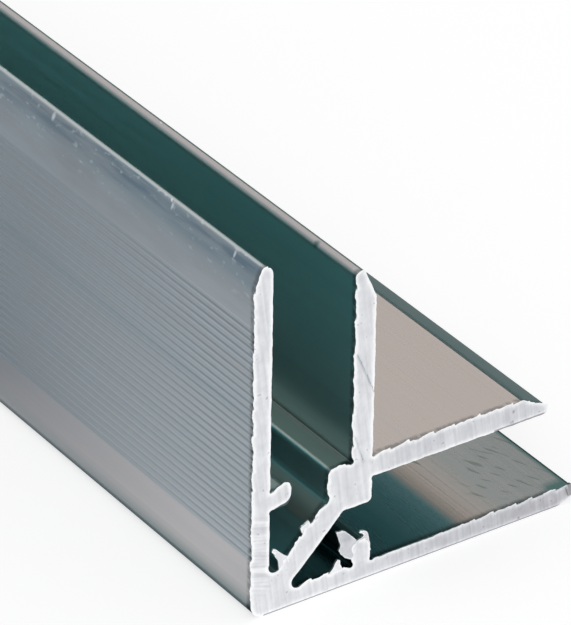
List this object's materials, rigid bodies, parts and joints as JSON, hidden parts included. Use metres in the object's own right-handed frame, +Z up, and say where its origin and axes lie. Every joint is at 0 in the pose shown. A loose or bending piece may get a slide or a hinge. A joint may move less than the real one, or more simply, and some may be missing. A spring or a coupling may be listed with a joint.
{
  "type": "aluminium extrusion profile",
  "caption": "Bar of aluminium corner extrusion: an outer L with fluted faces, a diagonal web and an inner L, leaving panel slots at right angles.",
  "frame": {"origin": "middle of the bar's box at floor level, under the lower outer leg", "axes": "+Y along the bar, +Z up the upright legs, +X towards the tips of the level legs; the outer corner lies along the -X edge on the floor"},
  "size_m": [0.03, 1, 0.03],
  "materials": {
    "aluminium": "mill finish with die lines along the bar, bright saw-cut ends"
  },
  "bodies": {
    "root": {"extrusion_profile": "aluminium"}
  },
  "joints": []
}
